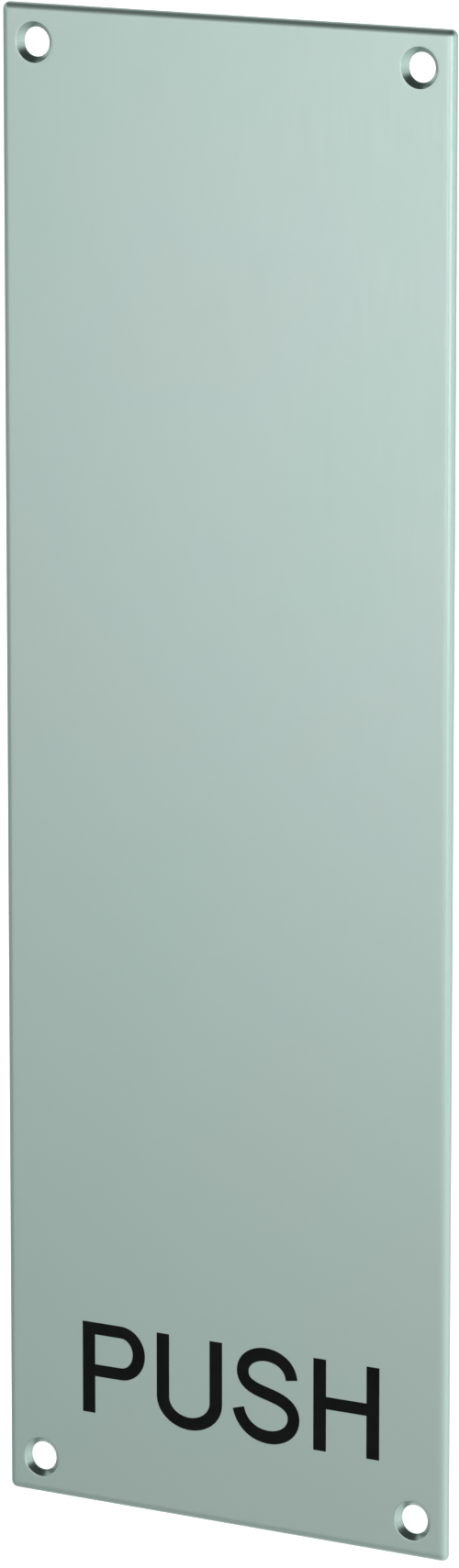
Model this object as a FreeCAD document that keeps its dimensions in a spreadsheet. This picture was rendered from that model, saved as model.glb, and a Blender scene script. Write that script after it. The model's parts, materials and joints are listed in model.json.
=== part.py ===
import FreeCAD, Part
import os
from enum import IntEnum, auto

import Sketcher

# A finger plate for a door: one flat sheet of metal with a rounded front edge, slightly
# rounded corners and a countersunk screw hole in each corner.
# The origin is at the centre of the back face, which lies against the door. +Z is up the
# door, +X is across it and the front faces -Y.

# Driving dimensions in millimetres, and degrees for the angle: name, value, meaning.
DIMENSIONS = (
    ("plate_width", 100.0, "width across the door"),
    ("plate_height", 300.0, "height up the door"),
    ("plate_thickness", 1.5, "thickness of the sheet"),
    ("corner_radius", 1.4, "rounding of the outline at its corners"),
    ("edge_radius", 1.2, "rounding of the front edge"),
    ("hole_inset_side", 7.5, "hole centre to the nearer long edge"),
    ("hole_inset_end", 7.5, "hole centre to the nearer short edge"),
    ("hole_diameter", 5.8, "clearance hole for the shank of a screw"),
    ("countersink_depth", 1.1, "depth of the conical seat for a screw head"),
    ("countersink_angle", 90.0, "included angle of the conical seat"),
)

# The front edge stays rounded within its own wall: at most these shares of the corner's
# radius and of the sheet's thickness.
ROUNDING_SHARE_OF_CORNER = 0.9
ROUNDING_SHARE_OF_SHEET = 0.8

# Distance within which a point counts as lying on a plane.
ON_PLANE = 1e-4


class Point(IntEnum):
    """A point of a line or circle that a constraint can hold."""
    START = auto()
    END = auto()
    CENTRE = auto()


class Axis(IntEnum):
    """An axis of a sketch, by the number that constraints know it by."""
    ACROSS = -1
    UP = -2


# A sketch's origin is the start of its axis across.
ORIGIN = (Axis.ACROSS, Point.START)


def make_sheet(doc):
    """Write the driving dimensions into the document's spreadsheet."""
    sheet = doc.addObject("Spreadsheet::Sheet", "Dimensions")
    for row, (name, value, meaning) in enumerate(DIMENSIONS, start=1):
        sheet.set(f"A{row}", name)
        sheet.set(f"B{row}", str(value))
        sheet.set(f"C{row}", meaning)
        sheet.setAlias(f"B{row}", name)
    doc.recompute()
    return sheet


def make_sketch(body, name):
    """Start a sketch on the plane of the plate's back: X across, Y up, normal to the front."""
    sketch = body.newObject("Sketcher::SketchObject", name)
    planes = {feature.Role: feature for feature in body.Origin.OriginFeatures}
    sketch.AttachmentSupport = [(planes["XZ_Plane"], "")]
    sketch.MapMode = "FlatFace"
    return sketch


def bind_constraint(sketch, constraint, name, expression):
    """Add a sized constraint to a sketch and tie its size to the spreadsheet."""
    index = sketch.addConstraint(constraint)
    sketch.renameConstraint(index, name)
    sketch.setExpression(f"Constraints.{name}", expression)


def sketch_outline(body, sheet):
    """Draw the plate's outline as a rectangle centred on the origin."""
    sketch = make_sketch(body, "outline")
    half_width = sheet.plate_width / 2
    half_height = sheet.plate_height / 2
    corners = [
        FreeCAD.Vector(-half_width, -half_height),
        FreeCAD.Vector(half_width, -half_height),
        FreeCAD.Vector(half_width, half_height),
        FreeCAD.Vector(-half_width, half_height),
    ]
    sides = [Part.LineSegment(corners[side], corners[(side + 1) % 4]) for side in range(4)]
    bottom, right, top, left = sketch.addGeometry(sides)
    for side, following in ((bottom, right), (right, top), (top, left), (left, bottom)):
        sketch.addConstraint(Sketcher.Constraint("Coincident", side, Point.END, following, Point.START))
    for side in (bottom, top):
        sketch.addConstraint(Sketcher.Constraint("Horizontal", side))
    for side in (right, left):
        sketch.addConstraint(Sketcher.Constraint("Vertical", side))
    sketch.addConstraint(Sketcher.Constraint("Symmetric", bottom, Point.START, top, Point.START, *ORIGIN))
    width = Sketcher.Constraint("DistanceX", bottom, Point.START, bottom, Point.END, 2 * half_width)
    height = Sketcher.Constraint("DistanceY", right, Point.START, right, Point.END, 2 * half_height)
    bind_constraint(sketch, width, "width", "Dimensions.plate_width")
    bind_constraint(sketch, height, "height", "Dimensions.plate_height")
    return sketch


def pad_sheet(body, outline):
    """Give the outline the thickness of the sheet, from the back towards the front."""
    pad = body.newObject("PartDesign::Pad", "blank")
    pad.Profile = outline
    pad.setExpression("Length", "Dimensions.plate_thickness")
    body.Document.recompute()
    return pad


def edges_where(feature, wanted):
    """Name the edges of a feature whose two ends both satisfy a test."""
    return [
        f"Edge{number}"
        for number, edge in enumerate(feature.Shape.Edges, start=1)
        if wanted(edge.Vertexes[0].Point, edge.Vertexes[-1].Point)
    ]


def round_edges(body, base, name, edges, radius):
    """Round the named edges of a feature with a radius taken from the spreadsheet."""
    fillet = body.newObject("PartDesign::Fillet", name)
    fillet.Base = (base, edges)
    fillet.setExpression("Radius", radius)
    body.Document.recompute()
    return fillet


def round_corners(body, blank):
    """Round the four corners of the outline, which run straight through the sheet."""

    def through_the_sheet(start, end):
        return abs(start.x - end.x) < ON_PLANE and abs(start.z - end.z) < ON_PLANE

    edges = edges_where(blank, through_the_sheet)
    return round_edges(body, blank, "corners", edges, "Dimensions.corner_radius")


def round_front(body, corners, sheet):
    """Round the whole edge of the front face."""
    front = -sheet.plate_thickness

    def on_the_front(start, end):
        return abs(start.y - front) < ON_PLANE and abs(end.y - front) < ON_PLANE

    radius = (
        "min(Dimensions.edge_radius; "
        f"{ROUNDING_SHARE_OF_CORNER} * Dimensions.corner_radius; "
        f"{ROUNDING_SHARE_OF_SHEET} * Dimensions.plate_thickness)"
    )
    return round_edges(body, corners, "front_edge", edges_where(corners, on_the_front), radius)


def sketch_holes(body, sheet):
    """Mark the four screw holes on the front face, one for each corner of the plate."""
    sketch = make_sketch(body, "hole_places")
    sketch.setExpression("AttachmentOffset.Base.z", "Dimensions.plate_thickness")
    across = sheet.plate_width / 2 - sheet.hole_inset_side
    up = sheet.plate_height / 2 - sheet.hole_inset_end
    normal = FreeCAD.Vector(0, 0, 1)
    circles = [
        Part.Circle(FreeCAD.Vector(x, y), normal, sheet.hole_diameter / 2)
        for x, y in ((across, up), (-across, up), (-across, -up), (across, -up))
    ]
    first, beside, opposite, below = sketch.addGeometry(circles)
    for other, mirror in ((beside, (Axis.UP,)), (opposite, ORIGIN), (below, (Axis.ACROSS,))):
        centres = (first, Point.CENTRE, other, Point.CENTRE)
        sketch.addConstraint(Sketcher.Constraint("Symmetric", *centres, *mirror))
        sketch.addConstraint(Sketcher.Constraint("Equal", first, other))
    place_across = Sketcher.Constraint("DistanceX", *ORIGIN, first, Point.CENTRE, across)
    place_up = Sketcher.Constraint("DistanceY", *ORIGIN, first, Point.CENTRE, up)
    size = Sketcher.Constraint("Diameter", first, sheet.hole_diameter)
    from_side = "Dimensions.plate_width / 2 - Dimensions.hole_inset_side"
    from_end = "Dimensions.plate_height / 2 - Dimensions.hole_inset_end"
    bind_constraint(sketch, place_across, "across", from_side)
    bind_constraint(sketch, place_up, "up", from_end)
    bind_constraint(sketch, size, "diameter", "Dimensions.hole_diameter")
    return sketch


def drill_holes(body, base, places):
    """Drill the screw holes through the sheet and countersink them from the front."""
    body.Document.recompute()
    hole = body.newObject("PartDesign::Hole", "screw_holes")
    hole.Profile = places
    hole.ThreadType = "None"
    hole.DepthType = "ThroughAll"
    hole.setExpression("Diameter", "Dimensions.hole_diameter")
    hole.HoleCutType = "Countersink"
    hole.HoleCutCustomValues = True
    mouth = (
        "Dimensions.hole_diameter"
        " + 2 * Dimensions.countersink_depth * tan(Dimensions.countersink_angle / 2 * 1 deg)"
    )
    hole.setExpression("HoleCutDiameter", mouth)
    hole.setExpression("HoleCutCountersinkAngle", "Dimensions.countersink_angle")
    body.Document.recompute()
    if hole.Shape.Volume >= base.Shape.Volume:
        raise RuntimeError("the screw holes cut nothing out of the plate")
    return hole


def make_finger_plate(doc, sheet):
    """Make the plate: blank, rounded corners, rounded front edge, screw holes."""
    body = doc.addObject("PartDesign::Body", "finger_plate")
    body.Label = "finger_plate"
    outline = sketch_outline(body, sheet)
    blank = pad_sheet(body, outline)
    corners = round_corners(body, blank)
    front = round_front(body, corners, sheet)
    places = sketch_holes(body, sheet)
    body.Tip = drill_holes(body, front, places)
    return body


def check_document(doc, bodies):
    """Stop if any object failed to compute or a piece isn't one valid solid."""
    for item in doc.Objects:
        if "Invalid" in item.State or "Error" in item.State:
            raise RuntimeError(f"{item.Label} failed: {item.State}")
    for body in bodies:
        shape = body.Shape
        if shape.isNull() or not shape.isValid() or len(shape.Solids) != 1:
            raise RuntimeError(f"{body.Label} is not one valid solid")


def export_bodies(bodies):
    """Write each piece to a STEP file named by its label."""
    os.makedirs("parts", exist_ok=True)
    for body in bodies:
        body.Shape.exportStep(f"parts/{body.Label}.step")


def main():
    """Build the plate, check it and write it out."""
    doc = FreeCAD.newDocument("finger_plate_document")
    sheet = make_sheet(doc)
    bodies = [make_finger_plate(doc, sheet)]
    doc.recompute()
    check_document(doc, bodies)
    export_bodies(bodies)
    for body in bodies:
        box = body.Shape.BoundBox
        print(f"{body.Label}: {box.XLength:.3f} x {box.YLength:.3f} x {box.ZLength:.3f} mm,"
              f" {body.Shape.Volume:.1f} cubic mm, front at y {box.YMin:.3f}")


main()
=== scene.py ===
"""Looks of a door finger plate: a satin steel sheet with an engraved word filled in black.

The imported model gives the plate's size and its screw holes. This script makes the sheet again
with finer edges and an engraving, fills the engraving, and sets a floor, lamps and a camera
round it.
"""

import json
import logging
import math
from abc import ABC, abstractmethod
from dataclasses import dataclass
from enum import Enum, IntEnum
from typing import Any

import bmesh
import bpy
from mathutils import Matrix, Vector
from mathutils.geometry import interpolate_bezier


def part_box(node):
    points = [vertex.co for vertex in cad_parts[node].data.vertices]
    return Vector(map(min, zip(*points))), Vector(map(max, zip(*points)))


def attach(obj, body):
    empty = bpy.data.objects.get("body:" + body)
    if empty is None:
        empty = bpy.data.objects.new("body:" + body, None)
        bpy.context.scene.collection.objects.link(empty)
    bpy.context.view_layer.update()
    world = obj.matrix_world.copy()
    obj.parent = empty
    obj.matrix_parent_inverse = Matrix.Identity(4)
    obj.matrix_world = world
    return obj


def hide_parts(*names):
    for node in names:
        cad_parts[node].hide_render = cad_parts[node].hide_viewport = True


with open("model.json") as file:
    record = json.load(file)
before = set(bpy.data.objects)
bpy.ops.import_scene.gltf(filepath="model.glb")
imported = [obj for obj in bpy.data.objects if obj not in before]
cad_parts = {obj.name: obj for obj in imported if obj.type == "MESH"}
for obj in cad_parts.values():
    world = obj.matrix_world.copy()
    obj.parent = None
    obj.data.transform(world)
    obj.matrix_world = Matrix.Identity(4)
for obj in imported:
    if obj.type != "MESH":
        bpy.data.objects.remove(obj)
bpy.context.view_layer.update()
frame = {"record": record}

MM = 0.001
PLATE_NODE = "finger_plate"
BODY = "root"
SHARP_ANGLE = math.radians(30)
# How far large faces lead small ones where shading is evened out, in percent.
LARGE_FACES_LEAD = 100
LOG = logging.getLogger("finger_plate")

# A point on the plate is how far it stands across and up, in metres, and a colour is linear.
Point = tuple[float, float]
Outline = list[Point]
Ring = list[bmesh.types.BMVert]
Colour = tuple[float, float, float, float]


class Slot(Enum):
    """The record's material slots."""

    SATIN_STEEL = "satin_steel"
    BLACK_ENAMEL = "black_enamel"


class Surface(IntEnum):
    """The plate's finishes, by their place among its materials."""

    FACE = 0
    SEAT = 1
    BACK = 2


class MixSocket(IntEnum):
    """Sockets of a node that mixes two colours, by their place on it."""

    FACTOR = 0
    RESULT = 2
    FIRST = 6
    SECOND = 7


class GrainRun(Enum):
    """Which way the marks of polishing or cutting run."""

    UPRIGHT = "upright"
    ROUND_HOLES = "round_holes"


def arc(centre: Point, reach: Point, start: float, end: float, steps: int) -> Outline:
    """Walk along an upright ellipse, both ends included.

    Args:
        centre: Middle of the ellipse.
        reach: Its half width and half height.
        start: First angle, in degrees anticlockwise from the right.
        end: Last angle, in degrees.
        steps: Straight steps in the walk.

    Returns:
        The points of the walk.
    """
    angles = [math.radians(start + (end - start) * step / steps) for step in range(steps + 1)]
    return [
        (centre[0] + reach[0] * math.cos(angle), centre[1] + reach[1] * math.sin(angle))
        for angle in angles
    ]


def circle(centre: Point, radius: float, steps: int) -> Outline:
    """Walk once round a circle, with no point twice."""
    return arc(centre, (radius, radius), 0, 360, steps)[:-1]


def round_rectangle(half_width: float, half_height: float, radius: float, steps: int) -> Outline:
    """Walk round a rectangle with rounded corners, centred on the plate.

    Args:
        half_width: Half of its width.
        half_height: Half of its height.
        radius: Rounding of its corners.
        steps: Straight steps in each corner.

    Returns:
        The points of the walk, anticlockwise.
    """
    across = half_width - radius
    up = half_height - radius
    points: Outline = []
    for turn, (side, end) in enumerate(((1, 1), (-1, 1), (-1, -1), (1, -1))):
        corner = (side * across, end * up)
        points += arc(corner, (radius, radius), 90 * turn, 90 * turn + 90, steps)
    return points


def heading(azimuth: float, elevation: float) -> Vector:
    """Point away from the plate.

    Args:
        azimuth: Degrees to the right of straight out from the plate's front.
        elevation: Degrees above the level.

    Returns:
        A vector of length one.
    """
    turn = math.radians(azimuth)
    rise = math.radians(elevation)
    flat = math.cos(rise)
    return Vector((math.sin(turn) * flat, -math.cos(turn) * flat, math.sin(rise)))


class SheetMesh:
    """A mesh in the making, drawn as outlines at depths below the plate's front."""

    def __init__(self, front: float) -> None:
        """Start an empty mesh whose depths count back from the given y."""
        self.front = front
        self.mesh = bmesh.new()

    def ring(self, outline: Outline, depth: float) -> Ring:
        """Lay an outline at a depth and return its vertices."""
        return [self.mesh.verts.new((x, self.front + depth, z)) for x, z in outline]

    def loft(self, rings: list[Ring], surface: int = 0) -> None:
        """Join rings of equal count, each to the next, with bands of faces.

        Args:
            rings: The rings, in order.
            surface: Place of the faces' finish among the piece's materials.
        """
        for first, second in zip(rings, rings[1:]):
            for here in range(len(first)):
                corners = (first[here - 1], first[here], second[here], second[here - 1])
                self.mesh.faces.new(corners).material_index = surface

    def fill(self, rings: list[Ring], surface: int = 0) -> None:
        """Fill the flat area between the outermost ring and the rings inside it.

        Args:
            rings: Rings that lie in one plane.
            surface: Place of the faces' finish among the piece's materials.
        """
        edges = []
        for ring in rings:
            for here in range(len(ring)):
                ends = (ring[here - 1], ring[here])
                edges.append(self.mesh.edges.get(ends) or self.mesh.edges.new(ends))
        made = bmesh.ops.triangle_fill(
            self.mesh, use_beauty=True, use_dissolve=False, edges=edges, normal=(0, -1, 0)
        )
        for item in made["geom"]:
            if isinstance(item, bmesh.types.BMFace):
                item.material_index = surface

    def make(self, name: str, finishes: list[bpy.types.Material]) -> bpy.types.Object:
        """Turn the drawing into a shaded object at the origin.

        Args:
            name: Name of the piece.
            finishes: Its materials, in order.

        Returns:
            The new object.
        """
        bmesh.ops.recalc_face_normals(self.mesh, faces=self.mesh.faces[:])
        data = bpy.data.meshes.new(name)
        self.mesh.to_mesh(data)
        self.mesh.free()
        for finish in finishes:
            data.materials.append(finish)
        data.shade_smooth()
        data.set_sharp_from_angle(angle=SHARP_ANGLE)
        piece = bpy.data.objects.new(name, data)
        bpy.context.scene.collection.objects.link(piece)
        shading = piece.modifiers.new("even_shading", "WEIGHTED_NORMAL")
        shading.keep_sharp = True
        shading.weight = LARGE_FACES_LEAD
        return piece


class NodeSheet:
    """A node tree, with one short call to add a node and join it up."""

    def __init__(self, tree: bpy.types.NodeTree) -> None:
        """Start with an empty tree."""
        self.tree = tree
        tree.nodes.clear()

    def add(
        self, kind: str, inputs: dict[str | int, Any] | None = None, **settings: Any
    ) -> bpy.types.Node:
        """Add a node.

        Args:
            kind: Blender's name for the node.
            inputs: Values, or outputs of other nodes, for its input sockets.
            **settings: Values for the node's own properties.

        Returns:
            The new node.
        """
        node = self.tree.nodes.new(kind)
        for key, value in settings.items():
            setattr(node, key, value)
        for key, value in (inputs or {}).items():
            if isinstance(value, bpy.types.NodeSocket):
                self.tree.links.new(value, node.inputs[key])
            else:
                node.inputs[key].default_value = value
        return node


class Effects:
    """Node groups that several finishes share, each built once."""

    marks_detail: float = 3.0
    marks_roughness: float = 0.6
    clouds_detail: float = 2.0
    clouds_roughness: float = 0.45
    clouds_from: float = 0.3
    clouds_to: float = 0.7

    def __init__(self) -> None:
        """Build the groups."""
        self.marks = self.build_marks()
        self.mottle = self.build_mottle()

    @staticmethod
    def start(name: str, inputs: dict[str, str], output: str) -> tuple[NodeSheet, bpy.types.Node]:
        """Start a node group with one output.

        Args:
            name: Name of the group.
            inputs: Input sockets, by name, with their kinds.
            output: Name of the output, which is a plain value.

        Returns:
            The group's nodes and the node that holds its inputs.
        """
        tree = bpy.data.node_groups.new(name, "ShaderNodeTree")
        for socket, kind in inputs.items():
            tree.interface.new_socket(socket, in_out="INPUT", socket_type=kind)
        tree.interface.new_socket(output, in_out="OUTPUT", socket_type="NodeSocketFloat")
        nodes = NodeSheet(tree)
        return nodes, nodes.add("NodeGroupInput")

    def build_marks(self) -> bpy.types.NodeTree:
        """Build fine marks, which are a noise drawn out one way.

        Returns:
            A group with inputs Place and Spread and output Marks.
        """
        sockets = {"Place": "NodeSocketVector", "Spread": "NodeSocketVector"}
        nodes, given = self.start("fine_marks", sockets, "Marks")
        spread = nodes.add(
            "ShaderNodeVectorMath",
            {0: given.outputs["Place"], 1: given.outputs["Spread"]},
            operation="MULTIPLY",
        )
        noise = nodes.add(
            "ShaderNodeTexNoise",
            {
                "Vector": spread.outputs["Vector"],
                "Scale": 1.0,
                "Detail": self.marks_detail,
                "Roughness": self.marks_roughness,
            },
        )
        nodes.add("NodeGroupOutput", {"Marks": noise.outputs["Fac"]})
        return nodes.tree

    def build_mottle(self) -> bpy.types.NodeTree:
        """Build soft clouds that run between two values.

        Returns:
            A group with inputs Place, Scale, Low and High and output Tone.
        """
        sockets = {
            "Place": "NodeSocketVector",
            "Scale": "NodeSocketFloat",
            "Low": "NodeSocketFloat",
            "High": "NodeSocketFloat",
        }
        nodes, given = self.start("soft_mottle", sockets, "Tone")
        noise = nodes.add(
            "ShaderNodeTexNoise",
            {
                "Vector": given.outputs["Place"],
                "Scale": given.outputs["Scale"],
                "Detail": self.clouds_detail,
                "Roughness": self.clouds_roughness,
            },
        )
        tone = nodes.add(
            "ShaderNodeMapRange",
            {
                "Value": noise.outputs["Fac"],
                "From Min": self.clouds_from,
                "From Max": self.clouds_to,
                "To Min": given.outputs["Low"],
                "To Max": given.outputs["High"],
            },
            interpolation_type="SMOOTHSTEP",
        )
        nodes.add("NodeGroupOutput", {"Tone": tone.outputs["Result"]})
        return nodes.tree


def start_material(name: str) -> tuple[bpy.types.Material, NodeSheet]:
    """Make a material with an empty node tree.

    Args:
        name: Name of the material.

    Returns:
        The material and its nodes.
    """
    material = bpy.data.materials.new(name)
    material.use_nodes = True
    return material, NodeSheet(material.node_tree)


@dataclass(frozen=True)
class SteelFinish:
    """Bare satin steel with fine marks and soft clouds of tint."""

    name: str
    colour: Colour = (0.35, 0.4525, 0.418, 1.0)
    tint: Colour = (0.338, 0.4585, 0.414, 1.0)
    tint_scale: float = 16.0
    smoothest: float = 0.36
    roughest: float = 0.44
    run: GrainRun = GrainRun.UPRIGHT
    marks_across: float = 9000.0
    marks_along: float = 160.0
    marks_depth: float = 0.004 * MM
    faintest_mark: float = 0.25
    boldest_mark: float = 0.75
    hole_place: Point = (0.0, 0.0)

    def place(self, nodes: NodeSheet) -> bpy.types.NodeSocket:
        """Give the coordinates that the marks follow.

        Args:
            nodes: The material's nodes.

        Returns:
            A vector output: plain object coordinates, or the distance from the nearest hole's axis.
        """
        plain = nodes.add("ShaderNodeTexCoord").outputs["Object"]
        if self.run is GrainRun.UPRIGHT:
            return plain
        folded = nodes.add("ShaderNodeVectorMath", {0: plain}, operation="ABSOLUTE")
        middle = (self.hole_place[0], 0.0, self.hole_place[1])
        from_hole = nodes.add(
            "ShaderNodeVectorMath", {0: folded.outputs["Vector"], 1: middle}, operation="SUBTRACT"
        )
        flat = nodes.add(
            "ShaderNodeVectorMath",
            {0: from_hole.outputs["Vector"], 1: (1.0, 0.0, 1.0)},
            operation="MULTIPLY",
        )
        radius = nodes.add("ShaderNodeVectorMath", {0: flat.outputs["Vector"]}, operation="LENGTH")
        return nodes.add("ShaderNodeCombineXYZ", {"X": radius.outputs["Value"]}).outputs["Vector"]

    def material(self, effects: Effects) -> bpy.types.Material:
        """Make the material.

        Args:
            effects: The shared node groups.

        Returns:
            The finished material.
        """
        material, nodes = start_material(self.name)
        place = self.place(nodes)
        cloud = nodes.add("ShaderNodeGroup", node_tree=effects.mottle)
        tint_place = nodes.add("ShaderNodeTexCoord").outputs["Object"]
        nodes.tree.links.new(tint_place, cloud.inputs["Place"])
        cloud.inputs["Scale"].default_value = self.tint_scale
        cloud.inputs["High"].default_value = 1.0
        colour = nodes.add(
            "ShaderNodeMix",
            {
                MixSocket.FACTOR: cloud.outputs["Tone"],
                MixSocket.FIRST: self.colour,
                MixSocket.SECOND: self.tint,
            },
            data_type="RGBA",
        )
        marks = nodes.add("ShaderNodeGroup", node_tree=effects.marks)
        nodes.tree.links.new(place, marks.inputs["Place"])
        spread = (self.marks_across, self.marks_across, self.marks_along)
        marks.inputs["Spread"].default_value = spread
        roughness = nodes.add(
            "ShaderNodeMapRange",
            {
                "Value": marks.outputs["Marks"],
                "From Min": self.faintest_mark,
                "From Max": self.boldest_mark,
                "To Min": self.smoothest,
                "To Max": self.roughest,
            },
        )
        bump = nodes.add(
            "ShaderNodeBump",
            {"Height": marks.outputs["Marks"], "Strength": 1.0, "Distance": self.marks_depth},
        )
        shader = nodes.add(
            "ShaderNodeBsdfPrincipled",
            {
                "Base Color": colour.outputs[MixSocket.RESULT],
                "Roughness": roughness.outputs["Result"],
                "Metallic": 1.0,
                "Normal": bump.outputs["Normal"],
            },
        )
        nodes.add("ShaderNodeOutputMaterial", {"Surface": shader.outputs["BSDF"]})
        return material


@dataclass(frozen=True)
class EnamelFinish:
    """Dull black enamel, slightly uneven where it dried."""

    name: str
    colour: Colour = (0.002, 0.0028, 0.0028, 1.0)
    worn: Colour = (0.004, 0.0052, 0.005, 1.0)
    smoothest: float = 0.4
    roughest: float = 0.55
    specular: float = 0.06
    cloud_scale: float = 260.0
    ripple_depth: float = 0.01 * MM

    def material(self, effects: Effects) -> bpy.types.Material:
        """Make the material.

        Args:
            effects: The shared node groups.

        Returns:
            The finished material.
        """
        material, nodes = start_material(self.name)
        place = nodes.add("ShaderNodeTexCoord").outputs["Object"]
        cloud = nodes.add("ShaderNodeGroup", node_tree=effects.mottle)
        nodes.tree.links.new(place, cloud.inputs["Place"])
        cloud.inputs["Scale"].default_value = self.cloud_scale
        cloud.inputs["High"].default_value = 1.0
        colour = nodes.add(
            "ShaderNodeMix",
            {
                MixSocket.FACTOR: cloud.outputs["Tone"],
                MixSocket.FIRST: self.colour,
                MixSocket.SECOND: self.worn,
            },
            data_type="RGBA",
        )
        roughness = nodes.add(
            "ShaderNodeMapRange",
            {"Value": cloud.outputs["Tone"], "To Min": self.smoothest, "To Max": self.roughest},
        )
        bump = nodes.add(
            "ShaderNodeBump",
            {"Height": cloud.outputs["Tone"], "Strength": 1.0, "Distance": self.ripple_depth},
        )
        shader = nodes.add(
            "ShaderNodeBsdfPrincipled",
            {
                "Base Color": colour.outputs[MixSocket.RESULT],
                "Roughness": roughness.outputs["Result"],
                "Specular IOR Level": self.specular,
                "Normal": bump.outputs["Normal"],
            },
        )
        nodes.add("ShaderNodeOutputMaterial", {"Surface": shader.outputs["BSDF"]})
        return material


@dataclass(frozen=True)
class LetterStyle:
    """Sizes that the word's letters share."""

    cap_height: float = 18.8 * MM
    stem: float = 2.9 * MM
    bar: float = 2.5 * MM
    overshoot: float = 0.3 * MM
    curve_steps: int = 28


@dataclass(frozen=True)
class Letter(ABC):
    """A plain capital, drawn from its lower left corner."""

    name: str
    width: float
    style: LetterStyle = LetterStyle()

    @abstractmethod
    def contours(self, inset: float) -> list[Outline]:
        """Draw the letter's edge, and then the edge of its counter if that is closed.

        Args:
            inset: How far the strokes are thinned on each side.

        Returns:
            Outlines whose counts of points don't depend on the inset.
        """


@dataclass(frozen=True)
class LetterP(Letter):
    """A stem with a round bowl at the top."""

    name: str = "letter_P"
    width: float = 14.45 * MM
    bowl_height: float = 11.15 * MM
    bowl_side: float = 2.85 * MM

    def contours(self, inset: float) -> list[Outline]:
        """Draw the stem and bowl, and the bowl's counter.

        Args:
            inset: How far the strokes are thinned on each side.

        Returns:
            The letter's edge and the counter's edge.
        """
        style = self.style
        radius = self.bowl_height / 2
        middle = (self.width - radius, style.cap_height - radius)
        foot = middle[1] - radius + inset
        right_of_stem = style.stem - inset
        edge = [(inset, inset), (right_of_stem, inset), (right_of_stem, foot)]
        edge += arc(middle, (radius - inset, radius - inset), -90, 90, style.curve_steps)
        edge.append((inset, style.cap_height - inset))
        inner = (radius - self.bowl_side + inset, radius - style.bar + inset)
        counter = [(right_of_stem, middle[1] + inner[1]), (right_of_stem, middle[1] - inner[1])]
        counter += arc(middle, inner, -90, 90, style.curve_steps)
        return [edge, counter]


@dataclass(frozen=True)
class LetterU(Letter):
    """Two stems on a round foot."""

    name: str = "letter_U"
    width: float = 15.05 * MM
    bend: float = 6.25 * MM
    foot: float = 2.6 * MM

    def contours(self, inset: float) -> list[Outline]:
        """Draw the two stems and the foot as one edge.

        Args:
            inset: How far the strokes are thinned on each side.

        Returns:
            The letter's edge.
        """
        style = self.style
        radius = self.width / 2
        middle = (radius, self.bend - style.overshoot)
        top = style.cap_height - inset
        outer = (radius - inset, self.bend - inset)
        inner = (radius - style.stem + inset, self.bend - self.foot + inset)
        edge = [(inset, top)]
        edge += arc(middle, outer, 180, 360, style.curve_steps)
        edge += [(self.width - inset, top), (self.width - style.stem + inset, top)]
        edge += arc(middle, inner, 360, 180, style.curve_steps)
        edge.append((style.stem - inset, top))
        return [edge]


@dataclass(frozen=True)
class LetterS(Letter):
    """A stroke of even width that follows a double bend."""

    name: str = "letter_S"
    width: float = 15.1 * MM
    stroke: float = 2.7 * MM
    overshoot: float = 0.38 * MM
    upper_end: Point = (13.3 * MM, 13.3 * MM)
    upper_heading: Point = (-0.08, 0.997)
    top_place: float = 7.5 * MM
    upper_side: Point = (2.2 * MM, 13.85 * MM)
    crossing: Point = (7.8 * MM, 9.85 * MM)
    crossing_heading: Point = (0.973, -0.231)
    lower_side: float = 5.4 * MM
    bottom_place: float = 8.1 * MM
    lower_end: Point = (1.2 * MM, 6.2 * MM)
    lower_heading: Point = (-0.21, 0.978)
    handle: float = 0.39
    bend_steps: int = 12

    def spine(self) -> list[tuple[Vector, Vector]]:
        """List the places that the stroke's middle runs through, each with its heading.

        Returns:
            Places and headings, from the upper end to the lower one.
        """
        half = self.stroke / 2
        top = self.style.cap_height + self.overshoot - half
        bottom = half - self.overshoot
        right = self.width - half
        leftward = (-1.0, 0.0)
        downward = (0.0, -1.0)
        stops = (
            (self.upper_end, self.upper_heading),
            ((self.top_place, top), leftward),
            (self.upper_side, downward),
            (self.crossing, self.crossing_heading),
            ((right, self.lower_side), downward),
            ((self.bottom_place, bottom), leftward),
            (self.lower_end, self.lower_heading),
        )
        return [(Vector(place), Vector(direction)) for place, direction in stops]

    def walk(self) -> list[Vector]:
        """Step along the stroke's middle in smooth bends.

        Returns:
            The points of the walk.
        """
        stops = self.spine()
        points = [stops[0][0]]
        for (start, way_out), (end, way_in) in zip(stops, stops[1:]):
            reach = (end - start).length * self.handle
            handles = (start + way_out * reach, end - way_in * reach)
            points += interpolate_bezier(start, *handles, end, self.bend_steps + 1)[1:]
        return [point.to_2d() for point in points]

    def contours(self, inset: float) -> list[Outline]:
        """Draw both sides of the stroke as one edge.

        Args:
            inset: How far the stroke is thinned on each side and drawn back at its ends.

        Returns:
            The letter's edge.
        """
        points = self.walk()
        half = self.stroke / 2 - inset
        right: Outline = []
        left: Outline = []
        last = len(points) - 1
        for here, point in enumerate(points):
            onward = (points[min(here + 1, last)] - points[max(here - 1, 0)]).normalized()
            if here == 0:
                point = point + onward * inset
            if here == last:
                point = point - onward * inset
            side = Vector((onward.y, -onward.x)) * half
            right.append(tuple(point + side))
            left.append(tuple(point - side))
        return [right + left[::-1]]


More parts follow.
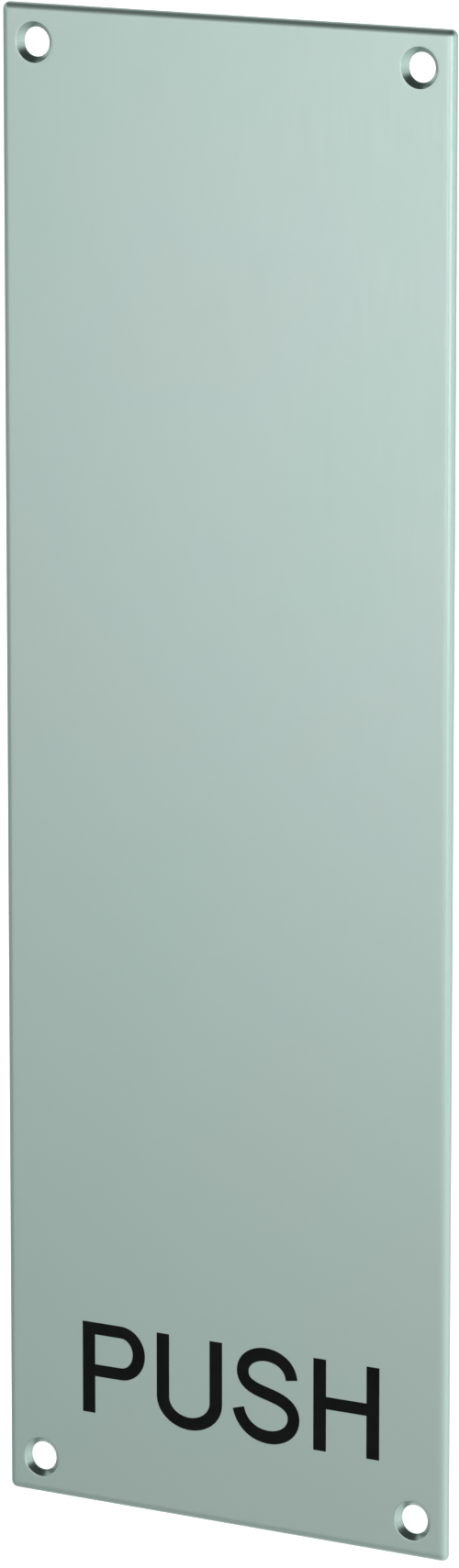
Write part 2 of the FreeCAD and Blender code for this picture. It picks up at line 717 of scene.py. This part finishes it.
@dataclass(frozen=True)
class LetterH(Letter):
    """Two stems and a bar."""

    name: str = "letter_H"
    width: float = 14.85 * MM
    bar_foot: float = 8.7 * MM
    bar_head: float = 11.25 * MM

    def contours(self, inset: float) -> list[Outline]:
        """Draw the stems and the bar as one edge.

        Args:
            inset: How far the strokes are thinned on each side.

        Returns:
            The letter's edge.
        """
        top = self.style.cap_height - inset
        left = (inset, self.style.stem - inset)
        right = (self.width - self.style.stem + inset, self.width - inset)
        foot = self.bar_foot + inset
        head = self.bar_head - inset
        lower = [(left[0], inset), (left[1], inset), (left[1], foot), (right[0], foot)]
        lower += [(right[0], inset), (right[1], inset)]
        upper = [(right[1], top), (right[0], top), (right[0], head), (left[1], head)]
        upper += [(left[1], top), (left[0], top)]
        return [lower + upper]


@dataclass(frozen=True)
class Engraving:
    """The word cut into the plate's face, and its enamel filling.

    The word's middle stands aside from the plate's, to the right, and its foot stands at a rise
    above the plate's foot.
    """

    plate_foot: float
    aside: float = 1.25 * MM
    rise: float = 18.6 * MM
    letters: tuple[Letter, ...] = (LetterP(), LetterU(), LetterS(), LetterH())
    gaps: tuple[float, ...] = (2.7 * MM, 2.5 * MM, 3.1 * MM)
    depth: float = 0.3 * MM
    draft: float = 0.03 * MM
    clearance: float = 0.008 * MM
    border_depth: float = 0.02 * MM
    dish_depth: float = 0.06 * MM
    dish_run: float = 0.25 * MM

    def placed(self, letter: Letter, inset: float) -> list[Outline]:
        """Draw one letter where it stands on the plate.

        Args:
            letter: One of the word's letters.
            inset: How far its strokes are thinned on each side.

        Returns:
            The letter's outlines.
        """
        total = sum(each.width for each in self.letters) + sum(self.gaps)
        place = self.letters.index(letter)
        before = sum(each.width for each in self.letters[:place]) + sum(self.gaps[:place])
        left = self.aside - total / 2 + before
        baseline = self.plate_foot + self.rise
        return [[(left + x, baseline + z) for x, z in edge] for edge in letter.contours(inset)]

    def cut(self, sheet: SheetMesh) -> list[Ring]:
        """Cut the letters into a sheet's front.

        Args:
            sheet: The plate's mesh.

        Returns:
            The letters' outer edges, which the front face has to leave open.
        """
        openings: list[Ring] = []
        for letter in self.letters:
            rims = [sheet.ring(edge, 0.0) for edge in self.placed(letter, 0.0)]
            floors = [sheet.ring(edge, self.depth) for edge in self.placed(letter, self.draft)]
            for rim, floor in zip(rims, floors):
                sheet.loft([rim, floor], Surface.FACE)
            sheet.fill(floors, Surface.FACE)
            openings.append(rims[0])
            for counter in rims[1:]:
                sheet.fill([counter], Surface.FACE)
        return openings

    def build(self, front: float, enamel: bpy.types.Material) -> list[bpy.types.Object]:
        """Fill each letter with enamel that lies a little below the face and dips in the middle.

        Args:
            front: Where the plate's front lies along y.
            enamel: The filling's material.

        Returns:
            One piece for each letter.
        """
        levels = (
            (self.clearance + self.draft, self.depth - self.clearance),
            (self.clearance, self.border_depth),
            (self.clearance + self.dish_run, self.dish_depth),
        )
        pieces = []
        for letter in self.letters:
            filling = SheetMesh(front)
            drawn = [
                [filling.ring(edge, depth) for edge in self.placed(letter, inset)]
                for inset, depth in levels
            ]
            for rings in zip(*drawn):
                filling.loft(list(rings))
            filling.fill(drawn[0])
            filling.fill(drawn[-1])
            piece = filling.make(letter.name, [enamel])
            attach(piece, BODY)
            pieces.append(piece)
        return pieces


@dataclass(frozen=True)
class FingerPlate:
    """The sheet: rounded front edge, broken back edge and countersunk screw holes."""

    low: Vector
    high: Vector
    hole_place: Point
    hole_radius: float
    seat_depth: float
    edge_depth: float = 1.2 * MM
    edge_run: float = 1.6 * MM
    corner_radius: float = 1.4 * MM
    sharpest_corner: float = 0.5 * MM
    rim_break: float = 0.15 * MM
    back_break: float = 0.1 * MM
    land: float = 0.6 * MM
    seat_slope: float = math.radians(45)
    edge_steps: int = 12
    break_steps: int = 4
    corner_steps: int = 10
    hole_steps: int = 96

    @classmethod
    def from_frame(cls) -> "FingerPlate":
        """Take the plate's size from its CAD node, and its holes from the record's mounts.

        Returns:
            The plate.
        """
        low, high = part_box(PLATE_NODE)
        mounts = {mount["name"]: mount["dims"] for mount in frame["record"]["mounts"]}
        pattern = mounts["screw_holes"]
        wall = mounts["screw_hole_upper_left"]["length_mm"] * MM
        return cls(
            low=low,
            high=high,
            hole_place=(pattern["spacing_x_mm"] / 2 * MM, pattern["spacing_y_mm"] / 2 * MM),
            hole_radius=pattern["hole_r_mm"] * MM,
            seat_depth=high.y - low.y - wall,
        )

    @property
    def thickness(self) -> float:
        """The sheet's thickness."""
        return self.high.y - self.low.y

    def outline(self, inset: float) -> Outline:
        """Walk round the plate inside its outline.

        Args:
            inset: Distance from the outline.

        Returns:
            The points of the walk, anticlockwise.
        """
        half_width = (self.high.x - self.low.x) / 2 - inset
        half_height = (self.high.z - self.low.z) / 2 - inset
        radius = max(self.corner_radius - inset, self.sharpest_corner)
        return round_rectangle(half_width, half_height, radius, self.corner_steps)

    def front_edge(self) -> list[Point]:
        """Draw the section of the front edge, from the face to the back edge.

        Returns:
            Distances inside the outline, each with its depth.
        """
        reach = (self.edge_run, self.edge_depth)
        section = [(self.edge_run + self.land, 0.0)]
        section += arc(reach, (-reach[0], -reach[1]), 90, 0, self.edge_steps)
        return section + [(0.0, self.thickness - self.back_break)]

    def back_edge(self) -> list[Point]:
        """Draw the section of the broken back edge.

        Returns:
            Distances inside the outline, each with its depth.
        """
        radius = self.back_break
        middle = (radius, self.thickness - radius)
        section = arc(middle, (-radius, radius), 0, 90, self.break_steps)
        return section + [(radius + self.land, self.thickness)]

    def rim(self) -> list[Point]:
        """Draw the section of a hole's rim on the face, down to the start of its seat.

        Returns:
            Distances from the hole's axis, each with its depth.
        """
        mouth = self.hole_radius + self.seat_depth * math.tan(self.seat_slope)
        reach = self.rim_break * math.tan(self.seat_slope / 2)
        middle = (mouth + reach, self.rim_break)
        turn = 90 + math.degrees(self.seat_slope)
        section = arc(middle, (self.rim_break, -self.rim_break), 90, turn, self.break_steps)
        return [(mouth + reach + self.land, 0.0)] + section

    def drill(self, sheet: SheetMesh, centre: Point) -> tuple[Ring, Ring]:
        """Draw one screw hole.

        Args:
            sheet: The plate's mesh.
            centre: The hole's place.

        Returns:
            The hole's outermost rings on the face and on the back.
        """

        def rings(section: list[Point]) -> list[Ring]:
            """Turn a section of distances and depths into rings round the hole."""
            return [
                sheet.ring(circle(centre, out, self.hole_steps), depth) for out, depth in section
            ]

        rim = rings(self.rim())
        back_depth = self.thickness - self.back_break
        wall = rings([(self.hole_radius, self.seat_depth), (self.hole_radius, back_depth)])
        middle = (self.hole_radius + self.back_break, back_depth)
        broken = arc(middle, (-self.back_break, self.back_break), 0, 90, self.break_steps)[1:]
        back = rings(broken + [(middle[0] + self.land, self.thickness)])
        sheet.loft(rim[:2], Surface.FACE)
        sheet.loft(rim[1:] + wall, Surface.SEAT)
        sheet.loft(wall[-1:] + back, Surface.BACK)
        return rim[0], back[-1]

    def finishes(self, effects: Effects) -> list[bpy.types.Material]:
        """Make the finishes of the face, the seats and the back; the seats' colour is darkened as
        painted shade inside the holes.

        Args:
            effects: The shared node groups.

        Returns:
            The materials, in the order of Surface.
        """
        face = SteelFinish("satin_face")
        seat = SteelFinish(
            "turned_seat_painted_shade",
            # Painted shade: the seat's colours are the face's made about a ninth darker, to darken
            # the insides of the holes; its smoother finish and round marks are its own.
            colour=(0.31, 0.4, 0.37, 1.0),
            tint=(0.3, 0.405, 0.365, 1.0),
            smoothest=0.2,
            roughest=0.3,
            run=GrainRun.ROUND_HOLES,
            hole_place=self.hole_place,
        )
        back = SteelFinish("mill_back", smoothest=0.5, roughest=0.65, marks_along=40.0)
        return [finish.material(effects) for finish in (face, seat, back)]

    def build(self, engraving: Engraving, effects: Effects) -> bpy.types.Object:
        """Make the sheet, which stands for the CAD node.

        Args:
            engraving: The word to cut into the face.
            effects: The shared node groups.

        Returns:
            The finished piece.
        """
        sheet = SheetMesh(self.low.y)
        front = [sheet.ring(self.outline(inset), depth) for inset, depth in self.front_edge()]
        back = [sheet.ring(self.outline(inset), depth) for inset, depth in self.back_edge()[1:]]
        sheet.loft(front, Surface.FACE)
        sheet.loft(front[-1:] + back, Surface.BACK)
        across, up = self.hole_place
        centres = [(side * across, end * up) for side in (-1, 1) for end in (-1, 1)]
        drilled = [self.drill(sheet, centre) for centre in centres]
        openings = engraving.cut(sheet)
        sheet.fill([front[0], *openings, *(face for face, _ in drilled)], Surface.FACE)
        sheet.fill([back[-1], *(behind for _, behind in drilled)], Surface.BACK)
        piece = sheet.make("plate_sheet", self.finishes(effects))
        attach(piece, BODY)
        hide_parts(PLATE_NODE)
        return piece


@dataclass(frozen=True)
class Floor:
    """A wide floor well below the plate, white behind it and darkened to pale grey in front as
    painted shade.
    """

    drop: float = 0.4
    half_size: float = 30.0
    white: float = 1.0
    # Painted shade: the grey in front stands in for less light there, and the plate's face reflects
    # it, darker towards its foot.
    grey: float = 0.43
    white_towards: tuple[float, float, float] = (0.7, 0.714, 0.0)
    white_from: float = 0.2
    grey_from: float = -0.3
    lift: float = 0.7

    def material(self) -> bpy.types.Material:
        """Make the floor's material, which is lifted to its full tone wherever it is seen.

        Returns:
            The finished material.
        """
        material, nodes = start_material("pale_floor")
        path = nodes.add("ShaderNodeLightPath")
        seen = path.outputs["Is Camera Ray"]
        for ray in ("Is Glossy Ray", "Is Transmission Ray"):
            either = nodes.add(
                "ShaderNodeMath", {0: seen, 1: path.outputs[ray]}, operation="MAXIMUM"
            )
            seen = either.outputs["Value"]
        lift = nodes.add("ShaderNodeMath", {0: seen, 1: self.lift}, operation="MULTIPLY")
        place = nodes.add("ShaderNodeTexCoord").outputs["Object"]
        behind = nodes.add(
            "ShaderNodeVectorMath", {0: place, 1: self.white_towards}, operation="DOT_PRODUCT"
        )
        tone = nodes.add(
            "ShaderNodeMapRange",
            {
                "Value": behind.outputs["Value"],
                "From Min": self.grey_from,
                "From Max": self.white_from,
                "To Min": self.grey,
                "To Max": self.white,
            },
            interpolation_type="SMOOTHSTEP",
        )
        shader = nodes.add(
            "ShaderNodeBsdfPrincipled",
            {
                "Base Color": tone.outputs["Result"],
                "Roughness": 1.0,
                "Specular IOR Level": 0.0,
                "Emission Color": tone.outputs["Result"],
                "Emission Strength": lift.outputs["Value"],
            },
        )
        nodes.add("ShaderNodeOutputMaterial", {"Surface": shader.outputs["BSDF"]})
        return material

    def build(self, low: float) -> bpy.types.Object:
        """Lay the floor below a height.

        Args:
            low: Height of the object's lowest point.

        Returns:
            The floor.
        """
        data = bpy.data.meshes.new("floor")
        half = self.half_size
        level = low - self.drop
        around = ((-half, -half), (half, -half), (half, half), (-half, half))
        corners = [(x, y, level) for x, y in around]
        data.from_pydata(corners, [], [(0, 1, 2, 3)])
        data.materials.append(self.material())
        floor = bpy.data.objects.new("floor", data)
        bpy.context.scene.collection.objects.link(floor)
        return floor


@dataclass(frozen=True)
class SoftLamp:
    """A square soft box that faces the plate and isn't seen itself."""

    name: str
    azimuth: float
    elevation: float
    distance: float
    size: float
    power: float
    colour: tuple[float, float, float] = (1.0, 1.0, 1.0)

    def build(self) -> bpy.types.Object:
        """Hang the lamp.

        Returns:
            The lamp.
        """
        light = bpy.data.lights.new(self.name, "AREA")
        light.shape = "SQUARE"
        light.size = self.size
        light.energy = self.power
        light.color = self.colour
        lamp = bpy.data.objects.new(self.name, light)
        bpy.context.scene.collection.objects.link(lamp)
        away = heading(self.azimuth, self.elevation)
        lamp.location = away * self.distance
        lamp.rotation_euler = away.to_track_quat("Z", "Y").to_euler()
        lamp.visible_camera = False
        return lamp


@dataclass(frozen=True)
class Surround:
    """Soft light from all round, with a dim part above the camera."""

    strength: float = 1.0
    dimmest: float = 0.085
    dim_azimuth: float = 0.0
    dim_elevation: float = 60.0
    dim_within: float = 35.0
    bright_beyond: float = 58.0

    def build(self) -> None:
        """Set the world's light."""
        world = bpy.data.worlds.new("surround")
        bpy.context.scene.world = world
        world.use_nodes = True
        nodes = NodeSheet(world.node_tree)
        towards = nodes.add("ShaderNodeTexCoord").outputs["Generated"]
        dim_middle = heading(self.dim_azimuth, self.dim_elevation)
        nearness = nodes.add(
            "ShaderNodeVectorMath", {0: towards, 1: dim_middle}, operation="DOT_PRODUCT"
        )
        level = nodes.add(
            "ShaderNodeMapRange",
            {
                "Value": nearness.outputs["Value"],
                "From Min": math.cos(math.radians(self.bright_beyond)),
                "From Max": math.cos(math.radians(self.dim_within)),
                "To Min": self.strength,
                "To Max": self.dimmest,
            },
            interpolation_type="SMOOTHSTEP",
        )
        light = nodes.add(
            "ShaderNodeBackground",
            {"Color": (1.0, 1.0, 1.0, 1.0), "Strength": level.outputs["Result"]},
        )
        nodes.add("ShaderNodeOutputWorld", {"Surface": light.outputs["Background"]})


@dataclass(frozen=True)
class Camera:
    """The camera, at the photograph's viewing angle."""

    azimuth: float = 30.14
    elevation: float = 12.01
    distance: float = 1.4956
    lens: float = 176.4
    clip_end: float = 200.0
    aim: tuple[float, float, float] = (0.39 * MM, 0.0, 0.13 * MM)

    def build(self) -> bpy.types.Object:
        """Set up the camera.

        Returns:
            The camera.
        """
        data = bpy.data.cameras.new("camera")
        data.lens = self.lens
        data.clip_end = self.clip_end
        camera = bpy.data.objects.new("camera", data)
        bpy.context.scene.collection.objects.link(camera)
        away = heading(self.azimuth, self.elevation)
        camera.location = Vector(self.aim) + away * self.distance
        camera.rotation_euler = away.to_track_quat("Z", "Y").to_euler()
        bpy.context.scene.camera = camera
        return camera


LAMPS = (
    SoftLamp(
        "key_lamp",
        azimuth=-14.0,
        elevation=2.0,
        distance=1.2,
        size=0.7,
        power=3.4,
        colour=(1.0, 0.88, 0.93),
    ),
    SoftLamp("fill_lamp", azimuth=27.0, elevation=2.0, distance=1.3, size=0.7, power=4.2),
    SoftLamp("side_lamp", azimuth=80.0, elevation=0.0, distance=1.1, size=1.2, power=1.7),
)


def main() -> None:
    """Build the plate, its word and the studio, and report each piece."""
    logging.basicConfig(level=logging.INFO, format="%(message)s")
    bpy.context.scene.view_settings.view_transform = "Standard"
    effects = Effects()
    plate = FingerPlate.from_frame()
    engraving = Engraving(plate.low.z)
    pieces = [plate.build(engraving, effects)]
    pieces += engraving.build(plate.low.y, EnamelFinish("dull_enamel").material(effects))
    for piece in pieces:
        LOG.info("%s: %d faces", piece.name, len(piece.data.polygons))
    Floor().build(plate.low.z)
    for lamp in LAMPS:
        lamp.build()
    Surround().build()
    Camera().build()


if __name__ == "__main__":
    main()
